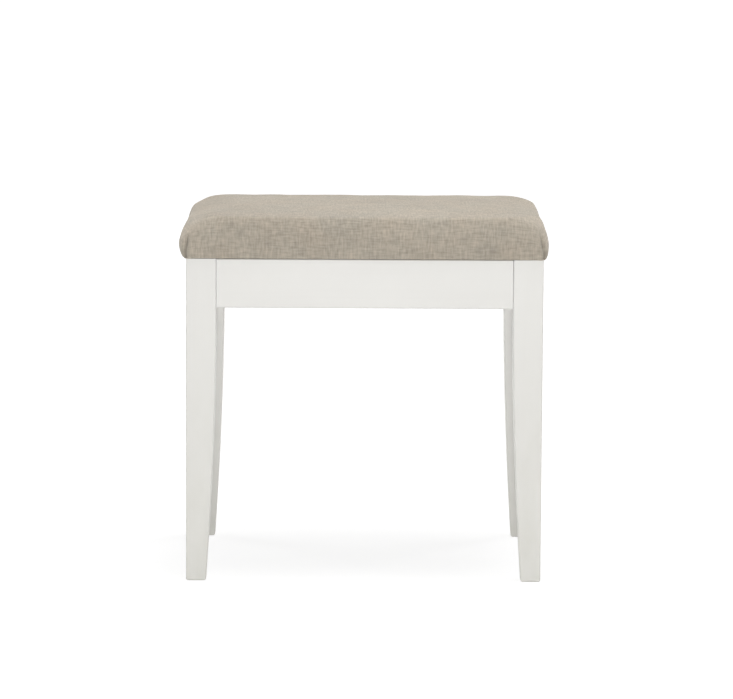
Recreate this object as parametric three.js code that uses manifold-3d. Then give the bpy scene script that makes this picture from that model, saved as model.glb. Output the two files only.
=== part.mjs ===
// A vanity stool: four tapered legs, four rails and an upholstered seat pad that drops on top.
// Lengths are in millimetres, +Z is up and the front faces -Y.
// The origin lies on the floor, under the middle of the frame.
import * as THREE from 'three';
import { mergeVertices } from 'three/addons/utils/BufferGeometryUtils.js';
import Module from 'manifold-3d';

const wasm = await Module();
wasm.setup();

// Frame, over the outer faces of the legs
const frameWidth = 450;
const frameDepth = 340;
const frameHeight = 411;

// Clearance between pieces that meet, and how far a cutter runs past a face
const gap = 0.3;
const overrun = 2;

// Legs: square at the head, tapered on the two inner faces by a shallow curve
const legHeadSize = 38;
const legFootSize = 25;
const legArris = 1.5;
const footChamfer = 1.5;
const taperPower = 1.8;
const taperSteps = 9;
const arrisSteps = 4;

// Rails, almost flush with the outer faces of the legs
const railHeight = 62;
const railThickness = 20;
const railSetback = 0.5;
const railArris = 1.5;
const railEndArris = 1;
const railArrisSteps = 4;
const railEndSteps = 2;

// Dowels, two in each joint of rail and leg
const dowelDiameter = 8;
const dowelLength = 30;
const dowelChamfer = 1;
const dowelEdgeDistance = 13;

// Corner blocks, one across each inner corner of the frame
const blockHeight = 40;
const blockDrop = 8;
const blockWing = 42;
const blockTip = 4;

// Hanger bolt, washer and nut that pull each leg to its corner block
const boltDiameter = 6;
const boltBite = 24;
const boltEnd = 5;
const boltChamfer = 0.8;
const washerDiameter = 18;
const washerThickness = 1.5;
const nutWidth = 10;
const nutHeight = 5;

// Wood screws: block to rail, and block to seat board
const screwDiameter = 4;
const screwHeadDiameter = 8;
const screwHeadHeight = 2.6;
const screwTip = 4;
const recessWidth = 4.4;
const recessSlot = 1;
const recessDepth = 1.4;
const railScrewInset = 29.7;
const railScrewGrip = 10;
const railScrewBite = 13;
const seatScrewInset = 17.7;
const seatScrewOffset = 13;
const seatScrewBite = 9.5;

// Seat board
const boardThickness = 12;
const boardSetback = 3;
const boardCornerRadius = 5;

// Upholstered pad: side profile, from the hem under the board, over the bulge, to the crowned top
const fabricThickness = 1.2;
const hemWidth = 28;
const tuckInset = 1.5;
const tuckHandle = 5;
const tuckRise = 11;
const bulge = 8;
const bulgeHeight = 19;
const edgeRise = 14;
const edgeRun = 16;
const edgeSoftness = 5;
const padHeight = 52.6;
const topInset = 150;
const crownRise = 4.5;
const edgeDip = 1.2;
const sideDraw = 2;

// Upholstered pad: plan corners, which grow rounder towards the top
const hemCornerRadius = 4;
const bulgeCornerRadius = 16;
const topCornerRadius = 60;

// Pad outline and profile resolution
const padCornerSteps = 5;
const padLongSteps = 7;
const padShortSteps = 5;
const tuckSteps = 3;
const edgeSteps = 4;
const topSteps = 4;
const drawPower = 4;
const liftPower = 3;

// Dust cover inside the hem
const dustCoverThickness = 0.6;

// Sides of round pieces and of their holes
const dowelSides = 12;
const screwSides = 10;
const boltSides = 12;
const washerSides = 16;
const hexSides = 6;

// Heights that follow from the sizes above
const railBottom = frameHeight - railHeight;
const blockBottom = frameHeight - blockDrop - blockHeight;
const blockMiddle = blockBottom + blockHeight / 2;
const padBase = frameHeight + gap;
const boardBottom = padBase + fabricThickness + gap;
const foamBottom = boardBottom + boardThickness + gap;

// Places in a corner's own plan, from the outer corner of its leg towards the middle of both rails
const railMiddle = railSetback + railThickness / 2;
const blockBack = railSetback + railThickness + gap;
const blockNotch = legHeadSize + gap;
const blockFace = (blockNotch + blockWing + blockBack + blockTip) / 2;
const throat = (blockFace - legHeadSize) * Math.SQRT2;
const railScrewAlong = blockNotch + railScrewInset;
const railScrewSeat = blockBack + railScrewGrip;
const seatScrewAlong = blockNotch + seatScrewInset;
const seatScrewAcross = blockBack + seatScrewOffset;
const inward = new THREE.Vector3(1, 1, 0).normalize();

const axisX = new THREE.Vector3(1, 0, 0);
const axisY = new THREE.Vector3(0, 1, 0);
const axisZ = new THREE.Vector3(0, 0, 1);

const stool = new THREE.Group();

// Materials, a new one for each mesh

function paintedWood() {
  return new THREE.MeshStandardMaterial({ color: 0xe9e7e2, roughness: 0.45, metalness: 0 });
}

function bareWood() {
  return new THREE.MeshStandardMaterial({ color: 0xcdae82, roughness: 0.75, metalness: 0 });
}

function plywood() {
  return new THREE.MeshStandardMaterial({ color: 0xc9ab7c, roughness: 0.8, metalness: 0 });
}

function zincSteel() {
  return new THREE.MeshStandardMaterial({ color: 0xb9bcbf, roughness: 0.35, metalness: 1 });
}

function foam() {
  return new THREE.MeshStandardMaterial({ color: 0xe6dcbd, roughness: 0.95, metalness: 0 });
}

function linen() {
  return new THREE.MeshStandardMaterial({ color: 0xb3aa9c, roughness: 0.95, metalness: 0 });
}

function blackFelt() {
  return new THREE.MeshStandardMaterial({ color: 0x232323, roughness: 0.95, metalness: 0 });
}

// Closed meshes: shared vertices are joined and empty triangles left out
function weld(geometry) {
  const bare = geometry.clone();
  bare.deleteAttribute('normal');
  bare.deleteAttribute('uv');
  const merged = mergeVertices(bare);
  const corners = merged.index.array;
  const kept = [];
  for (let i = 0; i < corners.length; i += 3) {
    const [a, b, c] = corners.slice(i, i + 3);
    if (a !== b && b !== c && c !== a) {
      kept.push(a, b, c);
    }
  }
  merged.setIndex(kept);
  return merged;
}

function toSolid(geometry) {
  const welded = weld(geometry);
  return new wasm.Manifold(new wasm.Mesh({
    numProp: 3,
    vertProperties: Float32Array.from(welded.attributes.position.array),
    triVerts: Uint32Array.from(welded.index.array),
  }));
}

function toGeometry(solid) {
  const mesh = solid.getMesh();
  const geometry = new THREE.BufferGeometry();
  geometry.setAttribute('position', new THREE.BufferAttribute(mesh.vertProperties, 3));
  geometry.setIndex(new THREE.BufferAttribute(mesh.triVerts, 1));
  return geometry;
}

// A piece with each of the cutters taken out of it
function cut(geometry, cutters) {
  let solid = toSolid(geometry);
  for (const cutter of cutters) {
    solid = solid.subtract(toSolid(cutter));
  }
  return toGeometry(solid);
}

function makeMesh(name, geometry, material) {
  const mesh = new THREE.Mesh(geometry, material);
  mesh.name = name;
  return mesh;
}

function pointAlong(geometry, direction) {
  return geometry.applyQuaternion(new THREE.Quaternion().setFromUnitVectors(axisZ, direction));
}

// Round rod that stands on the origin along +Z
function rod(diameter, length, sides) {
  const geometry = new THREE.CylinderGeometry(diameter / 2, diameter / 2, length, sides);
  return geometry.rotateX(Math.PI / 2).translate(0, 0, length / 2);
}

// Hole for a rod: it starts at a point, runs along a direction and is wider than the rod by the gap
function bore(diameter, sides, start, direction, length) {
  const geometry = pointAlong(rod(diameter + 2 * gap, length, sides), direction);
  return geometry.translate(start.x, start.y, start.z);
}

// Turned piece about +Z from points of radius and height
function turned(profile, sides) {
  const points = profile.map(([radius, height]) => new THREE.Vector2(radius, height));
  return new THREE.LatheGeometry(points, sides).rotateX(Math.PI / 2);
}

// Solid through a stack of rings with the same number of points, closed by a fan at each end
function loft(rings) {
  const count = rings[0].length;
  const points = rings.flat();
  const faces = [];
  for (let level = 0; level < rings.length - 1; level += 1) {
    for (let i = 0; i < count; i += 1) {
      const here = level * count + i;
      const next = level * count + ((i + 1) % count);
      faces.push(here, next, next + count, here, next + count, here + count);
    }
  }
  const middle = (ring) => ring.reduce((sum, p) => sum.add(p), new THREE.Vector3()).divideScalar(count);
  const firstMiddle = points.length;
  const lastMiddle = firstMiddle + 1;
  const lastStart = firstMiddle - count;
  for (let i = 0; i < count; i += 1) {
    const next = (i + 1) % count;
    faces.push(firstMiddle, next, i, lastMiddle, lastStart + i, lastStart + next);
  }
  points.push(middle(rings[0]), middle(rings[rings.length - 1]));
  const geometry = new THREE.BufferGeometry().setFromPoints(points);
  geometry.setIndex(faces);
  return geometry;
}

// Points of a rectangle with rounded corners about the origin, counter-clockwise from +X
function roundedOutline(halfX, halfY, radius, cornerSteps, longSteps, shortSteps) {
  const cornerSigns = [[1, 1], [-1, 1], [-1, -1], [1, -1]];
  const corners = cornerSigns.map(([signX, signY], quarter) => {
    const arc = [];
    for (let step = 0; step <= cornerSteps; step += 1) {
      const angle = (quarter + step / cornerSteps) * (Math.PI / 2);
      const x = signX * (halfX - radius) + radius * Math.cos(angle);
      const y = signY * (halfY - radius) + radius * Math.sin(angle);
      arc.push(new THREE.Vector2(x, y));
    }
    return arc;
  });
  const outline = [];
  corners.forEach((arc, quarter) => {
    outline.push(...arc);
    const from = arc[arc.length - 1];
    const to = corners[(quarter + 1) % corners.length][0];
    const steps = quarter % 2 === 0 ? longSteps : shortSteps;
    for (let step = 1; step < steps; step += 1) {
      outline.push(from.clone().lerp(to, step / steps));
    }
  });
  return outline;
}

function roundedPlate(width, depth, thickness, radius, holes) {
  const outline = roundedOutline(width / 2, depth / 2, radius, padCornerSteps, 1, 1);
  const shape = new THREE.Shape(outline);
  for (const hole of holes) {
    shape.holes.push(new THREE.Path().absarc(hole.x, hole.y, screwDiameter / 2 + gap, 0, Math.PI * 2));
  }
  const curveSegments = screwSides / 2;
  return new THREE.ExtrudeGeometry(shape, { depth: thickness, bevelEnabled: false, curveSegments });
}

// Legs. The outer corner of each leg stands on the corner's own origin.

function legSize(height) {
  const below = Math.max(railBottom - height, 0) / railBottom;
  return legHeadSize - (legHeadSize - legFootSize) * below ** taperPower;
}

function legRing(height, inset) {
  const size = legSize(height);
  const half = size / 2 - inset;
  return roundedOutline(half, half, legArris, arrisSteps, 1, 1).map(
    (p) => new THREE.Vector3(p.x + size / 2, p.y + size / 2, height),
  );
}

function makeLeg() {
  const rings = [legRing(0, footChamfer), legRing(footChamfer, 0)];
  for (let step = 1; step <= taperSteps; step += 1) {
    rings.push(legRing(footChamfer + ((railBottom - footChamfer) * step) / taperSteps, 0));
  }
  rings.push(legRing(frameHeight, 0));

  const cutters = [];
  const dowelEnd = legHeadSize + gap / 2 - dowelLength / 2 - gap;
  const dowelReach = legHeadSize - dowelEnd + overrun;
  for (const height of dowelHeights()) {
    const onX = new THREE.Vector3(dowelEnd, railMiddle, height);
    const onY = new THREE.Vector3(railMiddle, dowelEnd, height);
    cutters.push(bore(dowelDiameter, dowelSides, onX, axisX, dowelReach));
    cutters.push(bore(dowelDiameter, dowelSides, onY, axisY, dowelReach));
  }
  const boltStart = new THREE.Vector3(legHeadSize, legHeadSize, blockMiddle);
  boltStart.addScaledVector(inward, -boltBite - gap);
  cutters.push(bore(boltDiameter, boltSides, boltStart, inward, boltBite + gap + overrun));
  return cut(loft(rings), cutters);
}

// Rails. Each lies along X about its own middle, with the face for the corner blocks at +Y.

function dowelHeights() {
  return [railBottom + dowelEdgeDistance, frameHeight - dowelEdgeDistance];
}

function makeRail(span) {
  const length = span - 2 * (legHeadSize + gap);
  const middleHeight = frameHeight - railHeight / 2;
  const section = roundedOutline(railThickness / 2, railHeight / 2, railArris, railArrisSteps, 1, 1);
  const bar = new THREE.ExtrudeGeometry(new THREE.Shape(section), {
    depth: length - 2 * railEndArris,
    bevelThickness: railEndArris,
    bevelSize: railEndArris,
    bevelOffset: -railEndArris,
    bevelSegments: railEndSteps,
  });
  // The section is drawn in Y and Z, so the bar turns from +Z to +X
  bar.translate(0, 0, railEndArris - length / 2).rotateY(Math.PI / 2).rotateX(Math.PI / 2);

  const cutters = [];
  const dowelReach = dowelLength / 2 + gap;
  for (const end of [-1, 1]) {
    for (const height of dowelHeights()) {
      const start = new THREE.Vector3(end * (length / 2 + overrun), 0, height - middleHeight);
      const direction = axisX.clone().multiplyScalar(-end);
      cutters.push(bore(dowelDiameter, dowelSides, start, direction, dowelReach + overrun));
    }
    const screwPlace = end * (length / 2 - railScrewInset);
    const screwHeight = blockMiddle - middleHeight;
    const screwStart = new THREE.Vector3(screwPlace, railThickness / 2 + overrun, screwHeight);
    const screwReach = railScrewBite + gap + overrun;
    cutters.push(bore(screwDiameter, screwSides, screwStart, axisY.clone().negate(), screwReach));
  }
  return cut(bar, cutters);
}

function addRail(name, span, distance, turn) {
  const pivot = new THREE.Group();
  pivot.rotation.z = turn;
  const rail = makeMesh(name, makeRail(span), paintedWood());
  rail.position.set(0, railMiddle - distance / 2, frameHeight - railHeight / 2);
  pivot.add(rail);
  stool.add(pivot);
}

// Turned and threaded pieces, each standing on its own origin along +Z

function makeDowel() {
  const radius = dowelDiameter / 2;
  return turned([
    [0, 0],
    [radius - dowelChamfer, 0],
    [radius, dowelChamfer],
    [radius, dowelLength - dowelChamfer],
    [radius - dowelChamfer, dowelLength],
    [0, dowelLength],
  ], dowelSides);
}

// The underside of the head is at the origin, and the shank runs along +Z
function makeScrew(shankLength) {
  const shank = screwDiameter / 2;
  const head = screwHeadDiameter / 2;
  const crownRadius = (shank + head) / 2;
  const body = turned([
    [0, -screwHeadHeight],
    [crownRadius, -screwHeadHeight],
    [head, -screwHeadHeight / 2],
    [head, 0],
    [shank, 0],
    [shank, shankLength - screwTip],
    [0, shankLength],
  ], screwSides);
  const slots = [0, Math.PI / 2].map((turn) => {
    const slot = new THREE.BoxGeometry(recessWidth, recessSlot, recessDepth + overrun);
    const middle = -screwHeadHeight + (recessDepth - overrun) / 2;
    return slot.rotateZ(turn).translate(0, 0, middle);
  });
  return cut(body, slots);
}

function makeBolt(length) {
  const radius = boltDiameter / 2;
  return turned([
    [0, 0],
    [radius - boltChamfer, 0],
    [radius, boltChamfer],
    [radius, length - boltChamfer],
    [radius - boltChamfer, length],
    [0, length],
  ], boltSides);
}

function makeWasher() {
  const inner = boltDiameter / 2 + gap;
  const outer = washerDiameter / 2;
  return turned([
    [inner, 0],
    [outer, 0],
    [outer, washerThickness],
    [inner, washerThickness],
    [inner, 0],
  ], washerSides);
}

function makeNut() {
  const corner = nutWidth / 2 / Math.cos(Math.PI / hexSides);
  const hexagon = new THREE.CylinderGeometry(corner, corner, nutHeight, hexSides);
  hexagon.rotateX(Math.PI / 2).translate(0, 0, nutHeight / 2);
  const start = new THREE.Vector3(0, 0, -overrun);
  return cut(hexagon, [bore(boltDiameter, boltSides, start, axisZ, nutHeight + 2 * overrun)]);
}

// Corner block: it fits behind two rails and round the inner corner of the leg
function makeBlock(seatScrewPlace) {
  const wingEnd = blockNotch + blockWing;
  const tipSide = blockBack + blockTip;
  const outline = [
    [blockBack, blockNotch],
    [blockNotch, blockNotch],
    [blockNotch, blockBack],
    [wingEnd, blockBack],
    [wingEnd, tipSide],
    [tipSide, wingEnd],
    [blockBack, wingEnd],
  ];
  const shape = new THREE.Shape(outline.map(([x, y]) => new THREE.Vector2(x, y)));
  const block = new THREE.ExtrudeGeometry(shape, { depth: blockHeight, bevelEnabled: false });
  block.translate(0, 0, blockBottom);

  const cutters = [];
  const boltStart = new THREE.Vector3(legHeadSize, legHeadSize, blockMiddle);
  boltStart.addScaledVector(inward, -boltDiameter);
  cutters.push(bore(boltDiameter, boltSides, boltStart, inward, boltDiameter + throat + overrun));
  const seatStart = new THREE.Vector3(seatScrewPlace.x, seatScrewPlace.y, blockBottom - overrun);
  cutters.push(bore(screwDiameter, screwSides, seatStart, axisZ, blockHeight + 2 * overrun));
  const shankStart = blockBack - overrun;
  const shankReach = railScrewGrip + 2 * overrun;
  const headReach = blockWing;
  const onX = (across) => new THREE.Vector3(railScrewAlong, across, blockMiddle);
  const onY = (across) => new THREE.Vector3(across, railScrewAlong, blockMiddle);
  cutters.push(bore(screwDiameter, screwSides, onX(shankStart), axisY, shankReach));
  cutters.push(bore(screwDiameter, screwSides, onY(shankStart), axisX, shankReach));
  cutters.push(bore(screwHeadDiameter, screwSides, onX(railScrewSeat), axisY, headReach));
  cutters.push(bore(screwHeadDiameter, screwSides, onY(railScrewSeat), axisX, headReach));
  return cut(block, cutters);
}

// A mesh whose own +Z points along a direction, standing on a point
function placeAlong(mesh, start, direction) {
  mesh.position.copy(start);
  mesh.quaternion.setFromUnitVectors(axisZ, direction);
  return mesh;
}

// One corner: the leg, its dowels and everything that holds it, all in the corner's own plan
function addCorner({ name, x, y, turn, railOnX, railOnY, seatScrewOnX }) {
  const corner = new THREE.Group();
  corner.position.set(x, y, 0);
  corner.rotation.z = turn;
  stool.add(corner);
  const seatScrewPlace = seatScrewOnX
    ? new THREE.Vector2(seatScrewAlong, seatScrewAcross)
    : new THREE.Vector2(seatScrewAcross, seatScrewAlong);

  corner.add(makeMesh(`leg_${name}`, makeLeg(), paintedWood()));
  corner.add(makeMesh(`corner_block_${name}`, makeBlock(seatScrewPlace), bareWood()));

  const dowelStart = legHeadSize + gap / 2 - dowelLength / 2;
  const addDowel = (rail, place, start, direction) => {
    const dowel = makeMesh(`dowel_${name}_${rail}_rail_${place}`, makeDowel(), bareWood());
    corner.add(placeAlong(dowel, start, direction));
  };
  dowelHeights().forEach((height, level) => {
    const place = ['lower', 'upper'][level];
    addDowel(railOnX, place, new THREE.Vector3(dowelStart, railMiddle, height), axisX);
    addDowel(railOnY, place, new THREE.Vector3(railMiddle, dowelStart, height), axisY);
  });

  const onDiagonal = (distance) => new THREE.Vector3(legHeadSize, legHeadSize, blockMiddle)
    .addScaledVector(inward, distance);
  const washerSeat = throat + gap;
  const nutSeat = washerSeat + washerThickness + gap;
  const boltLength = boltBite + nutSeat + nutHeight + boltEnd;
  const bolt = makeMesh(`hanger_bolt_${name}`, makeBolt(boltLength), zincSteel());
  const washer = makeMesh(`washer_${name}`, makeWasher(), zincSteel());
  const nut = makeMesh(`nut_${name}`, makeNut(), zincSteel());
  corner.add(placeAlong(bolt, onDiagonal(-boltBite), inward));
  corner.add(placeAlong(washer, onDiagonal(washerSeat), inward));
  corner.add(placeAlong(nut, onDiagonal(nutSeat), inward));

  const railScrewLength = gap + railScrewGrip + gap + railScrewBite;
  const screwHead = railScrewSeat + gap;
  const addBlockScrew = (rail, head, direction) => {
    const screw = makeMesh(`block_screw_${name}_${rail}_rail`, makeScrew(railScrewLength), zincSteel());
    corner.add(placeAlong(screw, head, direction));
  };
  const headOnX = new THREE.Vector3(railScrewAlong, screwHead, blockMiddle);
  const headOnY = new THREE.Vector3(screwHead, railScrewAlong, blockMiddle);
  addBlockScrew(railOnX, headOnX, axisY.clone().negate());
  addBlockScrew(railOnY, headOnY, axisX.clone().negate());

  const seatScrewHead = new THREE.Vector3(seatScrewPlace.x, seatScrewPlace.y, blockBottom - gap);
  const seatScrewLength = boardBottom + seatScrewBite - seatScrewHead.z;
  const seatScrew = makeMesh(`seat_screw_${name}`, makeScrew(seatScrewLength), zincSteel());
  corner.add(placeAlong(seatScrew, seatScrewHead, axisZ));
}

// Seat screws in the stool's own plan
function seatScrewPlaces() {
  const x = frameWidth / 2 - seatScrewAlong;
  const y = frameDepth / 2 - seatScrewAcross;
  return [[x, y], [-x, y], [-x, -y], [x, -y]].map(([px, py]) => new THREE.Vector2(px, py));
}

function addSeatBoard() {
  const width = frameWidth - 2 * boardSetback;
  const depth = frameDepth - 2 * boardSetback;
  const plate = roundedPlate(width, depth, boardThickness, boardCornerRadius, []);
  const pilots = seatScrewPlaces().map((place) => {
    const start = new THREE.Vector3(place.x, place.y, -overrun);
    return bore(screwDiameter, screwSides, start, axisZ, overrun + seatScrewBite + gap);
  });
  const board = makeMesh('seat_board', cut(plate, pilots), plywood());
  board.position.z = boardBottom;
  stool.add(board);
}

function addDustCover() {
  const width = frameWidth - 2 * (hemWidth + gap);
  const depth = frameDepth - 2 * (hemWidth + gap);
  const sheet = roundedPlate(width, depth, dustCoverThickness, hemCornerRadius, seatScrewPlaces());
  const dustCover = makeMesh('dust_cover', sheet, blackFelt());
  dustCover.position.z = boardBottom - gap - dustCoverThickness;
  stool.add(dustCover);
}

// Pad. The side profile is drawn as outset from the frame's outer faces and height above the frame.

function padProfile() {
  const point = (outset, height) => new THREE.Vector2(outset, height);
  const edgeStart = bulge - edgeRun;
  const hem = new THREE.LineCurve(point(-hemWidth, 0), point(-tuckInset, 0));
  const tuck = new THREE.CubicBezierCurve(
    point(-tuckInset, 0),
    point(tuckHandle - tuckInset, 0),
    point(bulge, bulgeHeight - tuckRise),
    point(bulge, bulgeHeight),
  );
  const edge = new THREE.CubicBezierCurve(
    point(bulge, bulgeHeight),
    point(bulge, bulgeHeight + edgeRise),
    point(edgeStart + edgeSoftness, padHeight),
    point(edgeStart, padHeight),
  );
  const top = new THREE.LineCurve(point(edgeStart, padHeight), point(-topInset, padHeight));
  const samples = [[hem, 0], [hem, 1]];
  for (const [curve, steps] of [[tuck, tuckSteps], [edge, edgeSteps], [top, topSteps]]) {
    for (let step = 1; step <= steps; step += 1) {
      samples.push([curve, step / steps]);
    }
  }
  return samples.map(([curve, share]) => {
    const place = curve.getPoint(share);
    const along = curve.getTangent(share);
    return { outset: place.x, height: place.y, outward: along.y, upward: -along.x };
  });
}

function padCornerRadius(outset, height) {
  if (height < bulgeHeight) {
    return THREE.MathUtils.lerp(hemCornerRadius, bulgeCornerRadius, height / bulgeHeight);
  }
  const share = Math.min((bulge - outset) / edgeRun, 1);
  return THREE.MathUtils.lerp(bulgeCornerRadius, topCornerRadius, share);
}

// How far the crown lifts and the edge dips a point of the pad, fading to nothing at the frame
function padLift(x, y, height) {
  const acrossX = Math.min(Math.abs(x) / (frameWidth / 2 + bulge - edgeRun), 1);
  const acrossY = Math.min(Math.abs(y) / (frameDepth / 2 + bulge - edgeRun), 1);
  const inX = 1 - acrossX ** 2;
  const inY = 1 - acrossY ** 2;
  const crown = crownRise * inX * inY;
  const dip = edgeDip * (inX * acrossY ** drawPower + inY * acrossX ** drawPower);
  return (crown - dip) * (height / padHeight) ** liftPower;
}

// Outline of the pad at one sample of the profile, moved into the pad by an inset
function padRing({ outset, height, outward, upward }, inset) {
  const halfX = frameWidth / 2 + outset - inset * outward;
  const halfY = frameDepth / 2 + outset - inset * outward;
  const radius = Math.min(padCornerRadius(outset, height) - inset * outward, halfY);
  const draw = sideDraw * Math.min(height / bulgeHeight, 1);
  const outline = roundedOutline(halfX, halfY, radius, padCornerSteps, padLongSteps, padShortSteps);
  return outline.map((p) => {
    const acrossX = p.x / halfX;
    const acrossY = p.y / halfY;
    const x = p.x - Math.sign(p.x) * draw * Math.abs(acrossX) ** drawPower * (1 - acrossY ** 2);
    const y = p.y - Math.sign(p.y) * draw * Math.abs(acrossY) ** drawPower * (1 - acrossX ** 2);
    const z = padBase + height - inset * upward + padLift(p.x, p.y, height);
    return new THREE.Vector3(x, y, z);
  });
}

// Fabric cover: a skin over the pad, turned under the seat board and open inside its hem
function addFabricCover() {
  const profile = padProfile();
  const outside = profile.map((sample) => padRing(sample, 0));
  const inside = profile.map((sample) => padRing(sample, fabricThickness));
  stool.add(makeMesh('fabric_cover', loft([...inside.reverse(), ...outside]), linen()));
}

// Foam pad: it fills the cover from the seat board up
function addFoamPad() {
  const withoutHem = padProfile().slice(1);
  const rings = withoutHem.map((sample) => padRing(sample, fabricThickness + gap));
  const below = foamBottom - padBase;
  const slab = new THREE.BoxGeometry(2 * frameWidth, 2 * frameDepth, below);
  slab.translate(0, 0, foamBottom - below / 2);
  stool.add(makeMesh('foam_pad', cut(loft(rings), [slab]), foam()));
}

// Corners, counter-clockwise from the front left. The rail on a corner's own X comes first.
const rightAngle = Math.PI / 2;
const corners = [
  { name: 'front_left', sideX: -1, sideY: -1, railOnX: 'front', railOnY: 'left' },
  { name: 'front_right', sideX: 1, sideY: -1, railOnX: 'right', railOnY: 'front' },
  { name: 'back_right', sideX: 1, sideY: 1, railOnX: 'back', railOnY: 'right' },
  { name: 'back_left', sideX: -1, sideY: 1, railOnX: 'left', railOnY: 'back' },
];
corners.forEach(({ name, sideX, sideY, railOnX, railOnY }, index) => {
  const x = (sideX * frameWidth) / 2;
  const y = (sideY * frameDepth) / 2;
  const seatScrewOnX = ['front', 'back'].includes(railOnX);
  addCorner({ name, x, y, turn: index * rightAngle, railOnX, railOnY, seatScrewOnX });
});

addRail('rail_front', frameWidth, frameDepth, 0);
addRail('rail_right', frameDepth, frameWidth, rightAngle);
addRail('rail_back', frameWidth, frameDepth, 2 * rightAngle);
addRail('rail_left', frameDepth, frameWidth, 3 * rightAngle);

addSeatBoard();
addFoamPad();
addFabricCover();
addDustCover();

export default stool;
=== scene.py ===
import math

import bpy
import numpy as np
from mathutils import Matrix, Vector


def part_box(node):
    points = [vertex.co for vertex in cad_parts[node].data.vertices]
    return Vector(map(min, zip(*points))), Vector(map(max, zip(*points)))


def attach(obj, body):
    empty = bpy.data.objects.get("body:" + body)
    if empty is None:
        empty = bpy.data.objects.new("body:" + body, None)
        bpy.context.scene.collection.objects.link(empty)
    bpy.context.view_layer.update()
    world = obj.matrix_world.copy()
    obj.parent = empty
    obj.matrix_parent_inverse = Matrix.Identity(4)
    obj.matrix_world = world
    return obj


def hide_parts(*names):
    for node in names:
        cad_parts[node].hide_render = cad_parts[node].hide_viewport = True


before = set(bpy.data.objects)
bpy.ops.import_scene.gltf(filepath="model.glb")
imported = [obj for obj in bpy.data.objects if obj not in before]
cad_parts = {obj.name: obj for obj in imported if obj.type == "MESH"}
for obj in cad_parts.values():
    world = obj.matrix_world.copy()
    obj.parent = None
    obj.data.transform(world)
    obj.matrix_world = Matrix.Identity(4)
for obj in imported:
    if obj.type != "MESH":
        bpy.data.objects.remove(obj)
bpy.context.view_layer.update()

# A vanity stool: a white painted frame and an upholstered seat.
# Everything is in metres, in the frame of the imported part: +Z is up and the front faces -Y.

# Places that the frame gives
LEG_BOXES = [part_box(name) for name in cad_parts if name.startswith("leg_")]
HALF_WIDTH = max(high.x for low, high in LEG_BOXES)
HALF_DEPTH = max(high.y for low, high in LEG_BOXES)
PAD_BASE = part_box("fabric_cover")[0].z
BOARD_LOW, BOARD_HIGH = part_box("seat_board")
DUST_LOW, DUST_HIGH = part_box("dust_cover")
JOINT_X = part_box("rail_front")[1].x
JOINT_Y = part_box("rail_right")[1].y
RAIL_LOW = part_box("rail_front")[0].z

# Camera: in front of the stool and above it, pitched down
CAMERA_PLACE = Vector((-0.0112, -4.936, 0.938))
CAMERA_PITCH = 0.13367
CAMERA_YAW = 0.0029
CAMERA_ROLL = 0.0055
CAMERA_LENS = 187.46
CAMERA_SENSOR = 36
CAMERA_REACH = 200

# Studio. Far from the lamps the floor glows more, so that the background stays white
FLOOR_SIZE = 120
FLOOR_BOUNCE = 0.80
FLOOR_PALE = 0.34
FLOOR_GLOW = 0.79
FAR_GLOW = 0.97
GLOW_REACH = (0.7, 2.5)
AMBIENT = 0.26
LAMP_AIM = Vector((0, 0, 0.35))
TOP_LAMP_PLACE = Vector((0.15, -0.15, 2.4))
TOP_LAMP_SIZE = 1.2
TOP_LAMP_POWER = 34
# Small and a little below the camera's line of sight, so that it reaches the back legs
FRONT_LAMP_PLACE = Vector((0, -4.2, 0.55))
FRONT_LAMP_SIZE = 0.2
FRONT_LAMP_POWER = 69.5
# Behind the stool on both sides, so that they light its sides and its back
LEFT_LAMP_PLACE = Vector((-3.1, 2.3, 0.6))
RIGHT_LAMP_PLACE = Vector((3.1, 2.3, 0.6))
SIDE_LAMP_SIZE = 1.5
SIDE_LAMP_POWER = 78

# Seat pad: side profile as outset from the frame's outer faces and height above the pad's base.
# From the hem under the pad it is tucked in, bulges out, and turns over the edge of the top
HEM_WIDTH = 0.028
FABRIC_THICKNESS = 0.0012
POCKET_CLEARANCE = 0.0003
TUCK_INSET = 0.0018
TUCK_HANDLE = 0.005
TUCK_RISE = 0.0125
BULGE = 0.0071
BULGE_HEIGHT = 0.0188
EDGE_RISE = 0.007
EDGE_RUN = 0.0098
EDGE_SOFTNESS = 0.0025
PAD_HEIGHT = 0.0533
# The top is crowned, dips along its edges and rises to the front, and the sides are drawn in
CROWN_RISE = 0.002
EDGE_DIP = 0.003
FRONT_RISE = 0.0019
SIDE_DRAW = 0.002
DRAW_POWER = 4
LIFT_POWER = 3
# The front and the back are flatter than the two sides
FACE_TOP_OUT = 0.0046
FACE_BULGE_IN = 0.003
FACE_POWER = 6
# The left side sits a little lower and fuller than the right one
LEFT_SAG = 0.008
RIGHT_SAG = 0.0034
SAG_REACH = 0.017
LEFT_FULLNESS = 0.0044
RIGHT_FULLNESS = 0.0023
LEFT_LEAN = 0.0005
RIGHT_LEAN = 0.0013
FULLNESS_POWER = 8

# Seat pad: plan corners
HEM_CORNER = 0.004
BULGE_CORNER = 0.024
TOP_CORNER = 0.06
BOARD_CORNER = 0.005
CORNER_EASE = 2

# Seat pad: mesh before subdivision
WIDTH_STEPS = 60
DEPTH_STEPS = 46
EDGE_STEPS = 5
TUCK_STEPS = 5
HEM_STEPS = 4
CORNER_CROWDING = 0.6
SUBDIVISIONS = 2

# Seat pad: cloth, blown out from a little inside its full shape
START_INSET = 0.0008
PRESSURE = 4
CLOTH_FRAMES = 20
MOVE_CAP = 0.006
CLOTH_STIFFNESS = 15
CLOTH_SHEAR = 5
CLOTH_BENDING = 2
CLOTH_MASS = 0.3
CLOTH_QUALITY = 6
PIN_STIFFNESS = 1
FOAM_HOLD = 0.2
HELD_HEIGHTS = (0.001, 0.010)
POCKET_TOP = 0.016
BOARD_MARGIN = 0.001

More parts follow.
